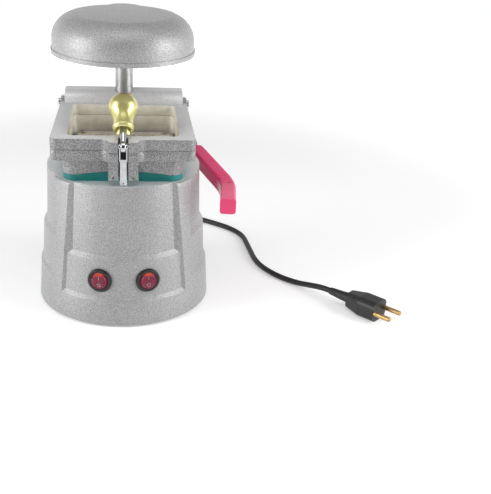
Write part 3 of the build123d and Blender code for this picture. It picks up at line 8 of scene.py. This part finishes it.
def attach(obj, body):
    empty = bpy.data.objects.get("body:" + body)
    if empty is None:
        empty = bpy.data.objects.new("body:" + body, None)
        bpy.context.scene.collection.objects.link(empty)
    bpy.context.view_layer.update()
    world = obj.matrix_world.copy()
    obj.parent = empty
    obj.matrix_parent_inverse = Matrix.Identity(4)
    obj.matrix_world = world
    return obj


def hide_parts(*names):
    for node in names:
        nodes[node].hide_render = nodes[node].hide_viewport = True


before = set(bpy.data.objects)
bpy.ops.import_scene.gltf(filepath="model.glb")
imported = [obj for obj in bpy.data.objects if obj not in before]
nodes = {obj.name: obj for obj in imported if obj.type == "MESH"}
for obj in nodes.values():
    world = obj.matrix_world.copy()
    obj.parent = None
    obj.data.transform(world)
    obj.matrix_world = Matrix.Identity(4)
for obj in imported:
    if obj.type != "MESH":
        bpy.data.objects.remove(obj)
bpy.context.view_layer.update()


class Wire:
    """One value of a finish. Sums written with it become Math nodes."""

    def __init__(self, tree, socket):
        self.tree = tree
        self.socket = socket

    def math(self, operation, first, second):
        node = self.tree.nodes.new("ShaderNodeMath")
        node.operation = operation
        for slot, value in zip(node.inputs, (first, second)):
            if isinstance(value, Wire):
                self.tree.links.new(value.socket, slot)
            else:
                slot.default_value = value
        return Wire(self.tree, node.outputs[0])

    def __add__(self, other):
        return self.math("ADD", self, other)

    def __radd__(self, other):
        return self.math("ADD", other, self)

    def __sub__(self, other):
        return self.math("SUBTRACT", self, other)

    def __rsub__(self, other):
        return self.math("SUBTRACT", other, self)

    def __mul__(self, other):
        return self.math("MULTIPLY", self, other)

    def __rmul__(self, other):
        return self.math("MULTIPLY", other, self)

    def over(self, limit):
        return self.math("GREATER_THAN", self, limit)

    def under(self, limit):
        return self.math("LESS_THAN", self, limit)


class Finish:
    """A material with one principled surface, whose even values are set straight on its sockets."""

    def __init__(self, name, **even):
        self.material = bpy.data.materials.new(name)
        self.material.use_nodes = True
        self.tree = self.material.node_tree
        self.surface = self.tree.nodes["Principled BSDF"]
        self.place = self.node("ShaderNodeTexCoord", output="Object")
        for label, value in even.items():
            self.surface.inputs[label.replace("_", " ").title().replace("Ior", "IOR")].default_value = value

    def node(self, kind, settings=None, inputs=None, output=0):
        """Any node: its settings first, then the values or links of its sockets."""
        node = self.tree.nodes.new(kind)
        for name, value in (settings or {}).items():
            if name == "stops":
                ramp = node.color_ramp.elements
                while len(ramp) < len(value):
                    ramp.new(1.0)
                for stop, (position, colour) in zip(ramp, value):
                    stop.position = position
                    stop.color = (*colour, 1.0)
            else:
                setattr(node, name, value)
        for name, value in (inputs or {}).items():
            if isinstance(value, Wire):
                self.tree.links.new(value.socket, node.inputs[name])
            else:
                node.inputs[name].default_value = value
        return Wire(self.tree, node.outputs[output])

    def feed(self, label, wire):
        self.tree.links.new(wire.socket, self.surface.inputs[label])

    def noise(self, scale, detail=3.0, roughness=0.5, output="Fac"):
        settings = {"noise_dimensions": "3D"}
        inputs = {"Vector": self.place, "Scale": scale, "Detail": detail, "Roughness": roughness}
        return self.node("ShaderNodeTexNoise", settings, inputs, output)

    def cells(self, scale, feature="SMOOTH_F1", smoothness=0.6, output="Distance"):
        inputs = {"Vector": self.place, "Scale": scale}
        if feature == "SMOOTH_F1":
            inputs["Smoothness"] = smoothness
        return self.node("ShaderNodeTexVoronoi", {"feature": feature}, inputs, output)

    def ramp(self, wire, *stops):
        return self.node("ShaderNodeValToRGB", {"stops": stops}, {"Fac": wire}, "Color")

    def bump(self, height, distance, strength=1.0):
        """Relief of the given depth in metres, fed to the surface's normal."""
        inputs = {"Height": height, "Distance": distance, "Strength": strength}
        self.feed("Normal", self.node("ShaderNodeBump", None, inputs, "Normal"))

    def part(self, wire, axis):
        """One coordinate of a place on the object."""
        return self.node("ShaderNodeSeparateXYZ", None, {"Vector": wire}, axis)


def dress(finish, *names):
    """Gives CAD nodes their finish."""
    for name in names:
        slots = nodes[name].data.materials
        slots.clear()
        slots.append(finish.material)


def soften(name, width, segments, finish, body, others=(), wide=1.0):
    """A piece on a CAD node's own shape, its sharp cast or moulded edges rounded to a width.

    Other finishes come with a test of the faces' centre and normal that take them. Upright edges are
    rounded wider than the rest by a factor, where the casting needs draft.
    """
    mesh = nodes[name].data.copy()
    mesh.name = name + "_cast"
    work = bmesh.new()
    work.from_mesh(mesh)
    bmesh.ops.remove_doubles(work, verts=work.verts, dist=1e-6)
    bmesh.ops.dissolve_limit(work, angle_limit=radians(0.4), verts=work.verts, edges=work.edges)
    share = work.edges.layers.float.new("bevel_weight_edge")
    for edge in work.edges:
        if len(edge.link_faces) == 2 and edge.calc_face_angle() > radians(28):
            along = edge.verts[1].co - edge.verts[0].co
            edge[share] = 1.0 if abs(along.z) > 0.7 * along.length else 1.0 / wide
    work.to_mesh(mesh)
    work.free()
    mesh.materials.clear()
    for each in (finish, *[other for other, test in others]):
        mesh.materials.append(each.material)
    for polygon in mesh.polygons:
        polygon.use_smooth = True
        for index, (other, test) in enumerate(others):
            if test(polygon.center, polygon.normal):
                polygon.material_index = index + 1
    piece = bpy.data.objects.new(name + "_cast", mesh)
    bpy.context.scene.collection.objects.link(piece)
    round_off = piece.modifiers.new("round_off", "BEVEL")
    round_off.width = width * wide
    round_off.segments = segments
    round_off.limit_method = "WEIGHT"
    round_off.harden_normals = True
    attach(piece, body)
    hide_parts(name)
    return piece


# ---- cast shell, frames, block and dome ----
# Sand-cast aluminium, fettled and sprayed with hammertone enamel, which dries into small cells with
# bright leafing flecks. The castings' edges are rounded by the thick paint.
def enamel(name, cell_scale, dark, middle, light):
    """Grey hammertone: cells and flecks between three even greys."""
    finish = Finish(name, metallic=0.35, ior=1.5, coat_roughness=0.16)
    cell = finish.cells(cell_scale)
    fleck = finish.noise(2.3 * cell_scale, 2.0)
    tone = cell * 0.9 + fleck * 0.35 + finish.noise(16.0, 2.0) * 0.15
    stops = [(at, (grey, grey, grey * 1.015)) for at, grey in ((0.38, dark), (0.60, middle), (0.82, light))]
    finish.feed("Base Color", finish.ramp(tone, *stops))
    finish.feed("Roughness", 0.36 + fleck * 0.16)
    finish.feed("Coat Weight", 0.10 + cell * 0.2)
    finish.bump(cell + fleck * 0.3, 0.0004, 0.6)
    return finish


hammertone = enamel("hammertone_enamel", 1100.0, 0.24, 0.35, 0.47)
# The frames and the latch keeper take a darker copy of the enamel, with larger cells.
darker_coarse_hammertone = enamel("darker_coarse_hammertone", 900.0, 0.13, 0.25, 0.38)
bare = Finish("bare_casting", metallic=0.1)
oxide = bare.noise(140.0, 4.0)
bare.feed("Base Color", bare.ramp(oxide, (0.3, (0.78, 0.74, 0.63)), (0.7, (0.88, 0.85, 0.76))))
bare.feed("Roughness", 0.40 + oxide * 0.2)
bare.bump(oxide, 0.0001, 0.3)
window_reach = 0.0535
# A pale satin enamel: the hinge block's own paint, and also painted light on the level top faces of the
# deck and the upper frame.
satin_and_painted_top_light = Finish("satin_and_painted_top_light_enamel", metallic=0.35, ior=1.5, coat_roughness=0.2)
mottle = satin_and_painted_top_light.noise(500.0, 3.0)
satin_and_painted_top_light.feed("Base Color", satin_and_painted_top_light.ramp(mottle, (0.3, (0.70, 0.70, 0.705)), (0.7, (0.82, 0.82, 0.825))))
satin_and_painted_top_light.feed("Roughness", 0.36 + mottle * 0.14)
satin_and_painted_top_light.bump(mottle, 0.00015, 0.4)


def in_window(centre, normal):
    """The upright milled walls of the frames' window."""
    inward = centre.x * normal.x + centre.y * normal.y < 0
    return inward and abs(normal.z) < 0.1 and max(abs(centre.x), abs(centre.y)) < window_reach


def painted_top_light(centre, normal):
    """The level faces of the deck and the upper frame, which take the pale satin enamel as painted light
    falling on them from above.
    """
    return normal.z > 0.9 and centre.z > 0.135


dress(hammertone, "dome")
dress(darker_coarse_hammertone, "latch_keeper")
# The deck's level faces get the pale satin enamel as painted light from above.
soften("housing", 0.0018, 4, hammertone, "base", [(satin_and_painted_top_light, painted_top_light)], wide=1.9)
soften("plenum_block", 0.0008, 2, hammertone, "base")
soften("lower_frame", 0.0008, 3, darker_coarse_hammertone, "carriage", [(bare, in_window)])
# The upper frame's level top gets the pale satin enamel as painted light from above.
soften("upper_frame", 0.0005, 2, darker_coarse_hammertone, "top_frame", [(bare, in_window), (satin_and_painted_top_light, painted_top_light)])
soften("hinge_block", 0.0008, 3, satin_and_painted_top_light, "carriage")

# ---- forming plate ----
# Perforated aluminium sheet, punched and countersunk, dulled to a warm grey by handling and plaster.
sheet = Finish("plaster_dulled_aluminium", metallic=0.25)
dust = sheet.noise(120.0, 4.0)
sheet.feed("Base Color", sheet.ramp(dust, (0.35, (0.74, 0.70, 0.60)), (0.7, (0.88, 0.85, 0.76))))
sheet.feed("Roughness", 0.36 + dust * 0.3)
sheet.bump(sheet.noise(700.0, 2.0), 0.0001, 0.3)
dress(sheet, "forming_plate", "fan_casing", "impeller")

# ---- seals and feet ----
# The frame shuts on a moulded silicone seal, bright teal and faintly see-through at its thin edges.
silicone = Finish("teal_silicone", roughness=0.42, ior=1.43, subsurface_weight=0.15)
milk = silicone.noise(60.0, 3.0)
silicone.feed("Base Color", silicone.ramp(milk, (0.3, (0.002, 0.16, 0.150)), (0.7, (0.006, 0.26, 0.245))))
silicone.bump(silicone.noise(1100.0, 2.0), 0.00008, 0.35)
dress(silicone, "gasket")

rubber = Finish("black_rubber", ior=1.45)
bloom = rubber.noise(160.0, 3.0)
rubber.feed("Base Color", rubber.ramp(bloom, (0.3, (0.012, 0.012, 0.013)), (0.7, (0.028, 0.028, 0.029))))
rubber.feed("Roughness", 0.55 + bloom * 0.25)
rubber.bump(rubber.noise(1400.0, 2.0), 0.00008, 0.4)
dress(rubber, "motor_gasket", "feet")

# ---- post, latch lever and tongue ----
# Bright chrome plate on the latch, slightly scuffed where the fingers run, and a plain ground steel
# post, satin from the carriage that slides on it.
chrome = Finish("chrome_plate", metallic=1.0)
scuff = chrome.noise(240.0, 4.0)
chrome.feed("Base Color", chrome.ramp(scuff, (0.3, (0.50, 0.51, 0.52)), (0.7, (0.64, 0.65, 0.66))))
chrome.feed("Roughness", 0.10 + scuff * 0.10)
dress(chrome, "latch_lever", "latch_tongue", "latch_pin")

ground = Finish("ground_post", metallic=0.7)
track = ground.noise(180.0, 4.0)
ground.feed("Base Color", ground.ramp(track, (0.3, (0.36, 0.36, 0.365)), (0.7, (0.47, 0.47, 0.475))))
ground.feed("Roughness", 0.30 + track * 0.12)
dress(ground, "post")

# ---- screws, collar, arm and motor steel ----
# Zinc-plated fasteners and plain turned or pressed steel, with fine tool marks round the work.
zinc = Finish("zinc_plate", metallic=1.0)
grain = zinc.noise(420.0, 4.0)
zinc.feed("Base Color", zinc.ramp(grain, (0.3, (0.50, 0.50, 0.49)), (0.7, (0.66, 0.66, 0.65))))
zinc.feed("Roughness", 0.20 + grain * 0.2)
zinc.bump(grain, 0.00004, 0.3)
dress(
    zinc, "plate_screws", "post_lock_screws", "rocker_pins", "motor_screws", "plate_fixings", "foot_screws",
    "frame_bolts", "hinge_screws", "arm_screws", "hub_screw", "heater_screws", "block_screws",
)

steel = Finish("turned_steel", metallic=1.0)
marks = steel.noise(300.0, 5.0)
steel.feed("Base Color", steel.ramp(marks, (0.3, (0.30, 0.30, 0.31)), (0.7, (0.44, 0.44, 0.45))))
steel.feed("Roughness", 0.28 + marks * 0.25)
steel.bump(marks, 0.00004, 0.3)
dress(
    steel, "stop_collar", "lift_arm", "motor_flange", "motor_can", "bearings", "stator", "armature",
    "motor_shaft", "bottom_plate",
)

# ---- latch knob and bushes ----
# The knob is turned from brass bar, polished and lacquered; the bushes are the same alloy left plain.
brass = Finish("lacquered_brass", metallic=0.55, coat_roughness=0.10)
tarnish = brass.noise(90.0, 4.0)
brass.feed("Base Color", brass.ramp(tarnish, (0.3, (0.66, 0.60, 0.22)), (0.7, (0.78, 0.73, 0.33))))
brass.feed("Roughness", 0.26 + tarnish * 0.12)
brass.feed("Coat Weight", 0.2 + tarnish * 0.2)
dress(brass, "latch_knob")

bronze = Finish("sintered_bronze", metallic=1.0)
pores = bronze.noise(800.0, 3.0)
bronze.feed("Base Color", bronze.ramp(pores, (0.35, (0.34, 0.21, 0.08)), (0.6, (0.62, 0.42, 0.18))))
bronze.feed("Roughness", 0.3 + pores * 0.25)
bronze.bump(pores, 0.00005, 0.4)
dress(bronze, "slide_bushes", "swivel_bush", "plug_pins")

# ---- lift handle ----
# A solid moulded grip in clear-bodied magenta resin, glossy, with a faint orange peel.
magenta = Finish("magenta_resin", ior=1.4, subsurface_weight=0.1, coat_roughness=0.04)
swirl = magenta.noise(38.0, 3.0)
magenta.feed("Base Color", magenta.ramp(swirl, (0.3, (0.86, 0.050, 0.180)), (0.7, (0.94, 0.080, 0.240))))
magenta.feed("Roughness", 0.24 + swirl * 0.10)
magenta.feed("Coat Weight", 0.1 + swirl * 0.15)
magenta.bump(magenta.noise(260.0, 2.0), 0.00006, 0.25)
dress(magenta, "handle_grip")

# ---- switch bodies ----
# Snap-in round switches moulded in black nylon, with a fine spark-eroded grain on the bezel.
nylon = Finish("black_nylon", ior=1.5)
spark = nylon.noise(1500.0, 2.0)
nylon.feed("Base Color", nylon.ramp(spark, (0.3, (0.006, 0.006, 0.007)), (0.7, (0.016, 0.016, 0.017))))
nylon.feed("Roughness", 0.22 + spark * 0.14)
nylon.bump(spark, 0.00005, 0.4)
dress(nylon, "switch_left", "switch_right", "terminal_block", "cord_gland", "gland_nut")

# ---- rockers ----
# Translucent dark red caps moulded round a small neon lamp, which glows orange near their upper end.
# The on and off marks are sunk lines filled with white paint.
lens = Finish("lit_red_rocker", ior=1.4, emission_strength=1.0, coat_weight=0.2, coat_roughness=0.04)
lamp_low = 0.0515
lamp_high = 0.0575
height = lens.part(lens.place, "Z")
lit = lens.node(
    "ShaderNodeMapRange", {"interpolation_type": "SMOOTHSTEP"},
    {"Value": height, "From Min": lamp_low, "From Max": lamp_high}, "Result",
)
speck = lens.noise(500.0, 3.0)
lens.feed("Base Color", lens.ramp(speck, (0.3, (0.12, 0.002, 0.024)), (0.7, (0.18, 0.004, 0.036))))
lens.feed("Emission Color", lens.ramp(lit, (0.0, (0.05, 0.0, 0.006)), (1.0, (0.75, 0.12, 0.02))))
lens.feed("Roughness", 0.10 + speck * 0.1)
paint = Finish("white_mark_paint")
chalky = paint.noise(900.0, 2.0)
paint.feed("Base Color", paint.ramp(chalky, (0.3, (0.74, 0.72, 0.70)), (0.7, (0.86, 0.84, 0.82))))
paint.feed("Roughness", 0.5 + chalky * 0.2)
mark_depth = 0.0002


def mark_of(body):
    """A test for the floors of the sunk marks in a rocker's face, found by their depth below it."""
    cap = nodes[body].data
    outward = max(cap.polygons, key=lambda polygon: polygon.area if polygon.normal.y < -0.5 else 0.0)
    level = outward.center.dot(outward.normal)

    def chosen(centre, normal):
        depth = level - centre.dot(outward.normal)
        return normal.dot(outward.normal) > 0.99 and mark_depth < depth < 2 * mark_depth

    return chosen


soften("rocker_left", 0.0001, 1, lens, "switch_left_rocker", [(paint, mark_of("rocker_left"))])
soften("rocker_right", 0.0001, 1, lens, "switch_right_rocker", [(paint, mark_of("rocker_right"))])

# ---- heater ----
# A sheathed element, browned by heat, lies in a white ceramic plate under a bright reflector.
ceramic = Finish("white_ceramic", ior=1.55)
chalk = ceramic.noise(220.0, 4.0)
ceramic.feed("Base Color", ceramic.ramp(chalk, (0.3, (0.66, 0.62, 0.55)), (0.7, (0.80, 0.77, 0.70))))
ceramic.feed("Roughness", 0.6 + chalk * 0.25)
ceramic.bump(ceramic.noise(600.0, 3.0), 0.0001, 0.4)
dress(ceramic, "heater_plate")

sheath = Finish("heat_browned_sheath", metallic=0.9)
heat = sheath.noise(70.0, 4.0)
sheath.feed("Base Color", sheath.ramp(heat, (0.3, (0.13, 0.10, 0.08)), (0.7, (0.34, 0.28, 0.22))))
sheath.feed("Roughness", 0.4 + heat * 0.25)
dress(sheath, "element")

mirror = Finish("bright_reflector", metallic=1.0)
haze = mirror.noise(150.0, 3.0)
mirror.feed("Base Color", mirror.ramp(haze, (0.3, (0.78, 0.78, 0.77)), (0.7, (0.88, 0.88, 0.87))))
mirror.feed("Roughness", 0.12 + haze * 0.15)
dress(mirror, "reflector")

carbon = Finish("carbon_brush")
soot = carbon.noise(900.0, 3.0)
carbon.feed("Base Color", carbon.ramp(soot, (0.3, (0.015, 0.015, 0.015)), (0.7, (0.035, 0.035, 0.035))))
carbon.feed("Roughness", 0.6 + soot * 0.2)
dress(carbon, "brushes")

# ---- mains lead ----
# Round three-core flex in black PVC: straight out of the gland, down to the bench, wound into a
# put-away coil behind the base, and round the right side to its moulded plug.
flex = Finish("black_pvc", ior=1.5)
skin = flex.noise(900.0, 3.0)
flex.feed("Base Color", flex.ramp(skin, (0.3, (0.010, 0.010, 0.011)), (0.7, (0.022, 0.022, 0.023))))
flex.feed("Roughness", 0.34 + skin * 0.2)
flex.bump(skin, 0.00005, 0.3)
dress(flex, "mains_plug")

cord_width = 0.006
lead_route = [(-0.034, 0.093, 0.015), (-0.034, 0.114, 0.015), (-0.034, 0.139, 0.0032)]
run_route = [
    (0.035, 0.198, 0.0097),
    (0.062, 0.196, 0.0032),
    (0.090, 0.181, 0.0032),
    (0.138, 0.141, 0.0032),
    (0.1425, 0.094, 0.0032),
    (0.146, 0.052, 0.0032),
    (0.163, 0.021, 0.0032),
    (0.182, 0.003, 0.0032),
    (0.195, -0.011, 0.007),
    (0.207, -0.024, 0.0105),
    (0.214, -0.0315, 0.0105),
]
coil_centre = (0.009, 0.155)
coil_reach = 0.043
coil_pitch = 0.0065
coil_turns = 5.25
coil_lie = 0.0032
steps_a_turn = 24
coil_route = []
for step in range(int(coil_turns * steps_a_turn) + 1):
    turned = step / steps_a_turn
    reach = coil_reach - coil_pitch * min(turned, coil_turns - turned)
    share = min(max((turned - coil_turns / 2 + 0.25) / 0.5, 0.0), 1.0)
    angle = pi - 2 * pi * turned
    climbed = coil_lie + coil_pitch * share * share * (3 - 2 * share)
    coil_route.append((coil_centre[0] + reach * cos(angle), coil_centre[1] + reach * sin(angle), climbed))
route = lead_route + coil_route + run_route
line = bpy.data.curves.new("mains_cord", "CURVE")
line.dimensions = "3D"
line.bevel_depth = cord_width / 2
line.bevel_resolution = 5
line.resolution_u = 6
spline = line.splines.new("NURBS")
spline.points.add(len(route) - 1)
for point, spot in zip(spline.points, route):
    point.co = (*spot, 1.0)
spline.order_u = 3
spline.use_endpoint_u = True
line.materials.append(flex.material)
mains_cord = bpy.data.objects.new("mains_cord", line)
bpy.context.scene.collection.objects.link(mains_cord)
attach(mains_cord, "base")
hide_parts("cord_lead", "cord_coil", "cord_run")

# ---- bench and light ----
# A plain white bench in a light tent: a large soft box at each side, a weak one overhead, and a darker
# room in front. Bench and tent look white to the camera and to polished metal, and keep the shadow.
bench = Finish("white_bench", roughness=0.7)
bench.feed("Base Color", bench.ramp(bench.noise(3.0), (0.0, (0.80, 0.80, 0.80)), (1.0, (0.83, 0.83, 0.83))))
glow_near = 0.36
glow_far = 1.0
looked_at = bench.node("ShaderNodeLightPath", output="Is Camera Ray")
mirrored = bench.node("ShaderNodeLightPath", output="Is Glossy Ray")
through = bench.node("ShaderNodeLightPath", output="Is Transmission Ray")
away = bench.node("ShaderNodeVectorMath", {"operation": "LENGTH"}, {"Vector": bench.place}, "Value")
glow = bench.node(
    "ShaderNodeMapRange", {"interpolation_type": "SMOOTHSTEP"},
    {"Value": away, "From Min": 0.45, "From Max": 1.1, "To Min": glow_near, "To Max": glow_far}, "Result",
)
seen = (looked_at + mirrored + through).under(1.5) * (looked_at + mirrored + through) * glow
bench.feed("Emission Color", bench.ramp(seen, (0.0, (0.0, 0.0, 0.0)), (1.0, (1.0, 1.0, 1.0))))
bench.surface.inputs["Emission Strength"].default_value = 1.0
floor_mesh = bpy.data.meshes.new("bench_top")
work = bmesh.new()
bmesh.ops.create_grid(work, x_segments=1, y_segments=1, size=1.6)
work.to_mesh(floor_mesh)
work.free()
floor_mesh.materials.append(bench.material)
floor = bpy.data.objects.new("bench_top", floor_mesh)
bpy.context.scene.collection.objects.link(floor)

world = bpy.data.worlds.new("light_tent")
bpy.context.scene.world = world
world.use_nodes = True
tent = world.node_tree
sky = tent.nodes["Background"]
sky.inputs["Color"].default_value = (1.0, 1.0, 1.0, 1.0)
path = tent.nodes.new("ShaderNodeLightPath")
aim = tent.nodes.new("ShaderNodeTexCoord")
sides = tent.nodes.new("ShaderNodeSeparateXYZ")
tent.links.new(aim.outputs["Generated"], sides.inputs[0])


def span(axis, low, high, first, last):
    """A smooth change of strength along one direction of the tent."""
    ease = tent.nodes.new("ShaderNodeMapRange")
    ease.interpolation_type = "SMOOTHSTEP"
    for label, value in zip(("From Min", "From Max", "To Min", "To Max"), (low, high, first, last)):
        ease.inputs[label].default_value = value
    tent.links.new(sides.outputs[axis], ease.inputs["Value"])
    return ease.outputs[0]


def joined(operation, first, second):
    node = tent.nodes.new("ShaderNodeMath")
    node.operation = operation
    tent.links.new(first, node.inputs[0])
    tent.links.new(second, node.inputs[1])
    return node.outputs[0]


room = joined("MULTIPLY", span("Y", -0.9, 0.2, 0.03, 0.38), span("Z", 0.3, 0.9, 1.0, 0.5))
backdrop = joined("MULTIPLY", span("Y", -0.3, 0.5, 0.10, 1.0), span("Z", 0.15, 0.6, 1.0, 0.35))
reflected = joined("MAXIMUM", path.outputs["Is Glossy Ray"], path.outputs["Is Transmission Ray"])
shown = joined("MAXIMUM", joined("MULTIPLY", reflected, backdrop), path.outputs["Is Camera Ray"])
tent.links.new(joined("MAXIMUM", shown, room), sky.inputs["Strength"])


def soft_box(name, place, target, size, power):
    """A square studio lamp aimed at a point of the object."""
    lamp = bpy.data.lights.new(name, "AREA")
    lamp.shape = "RECTANGLE"
    lamp.size = size[0]
    lamp.size_y = size[1]
    lamp.energy = power
    box = bpy.data.objects.new(name, lamp)
    box.location = place
    box.rotation_euler = (Vector(target) - Vector(place)).to_track_quat("-Z", "Y").to_euler()
    bpy.context.scene.collection.objects.link(box)


soft_box("left_box", (-1.00, -0.38, 0.45), (0, 0, 0.18), (0.5, 0.8), 9.5)
soft_box("right_box", (1.00, -0.38, 0.45), (0, 0, 0.18), (0.5, 0.8), 9.0)
soft_box("top_box", (0.0, -0.42, 1.45), (0, 0, 0.15), (1.3, 0.8), 6.5)

# ---- camera ----
# The photograph's own view: a little to the left of the front, looking down at about 24 degrees.
camera_place = Vector((0.007552, -0.864632, 0.441527))
yaw = 0.136
pitch = 0.425
roll = 0.055
ahead = Vector((sin(yaw) * cos(pitch), cos(yaw) * cos(pitch), -sin(pitch)))
level = Vector((cos(yaw), -sin(yaw), 0.0))
above = level.cross(ahead)
right = level * cos(roll) + above * sin(roll)
up = above * cos(roll) - level * sin(roll)
lens_data = bpy.data.cameras.new("view")
lens_data.lens = 66.58
lens_data.sensor_width = 36.0
lens_data.clip_start = 0.01
camera = bpy.data.objects.new("view", lens_data)
camera.matrix_world = Matrix.Translation(camera_place) @ Matrix((right, up, -ahead)).transposed().to_4x4()
bpy.context.scene.collection.objects.link(camera)
bpy.context.scene.camera = camera
bpy.context.scene.view_settings.view_transform = "Standard"
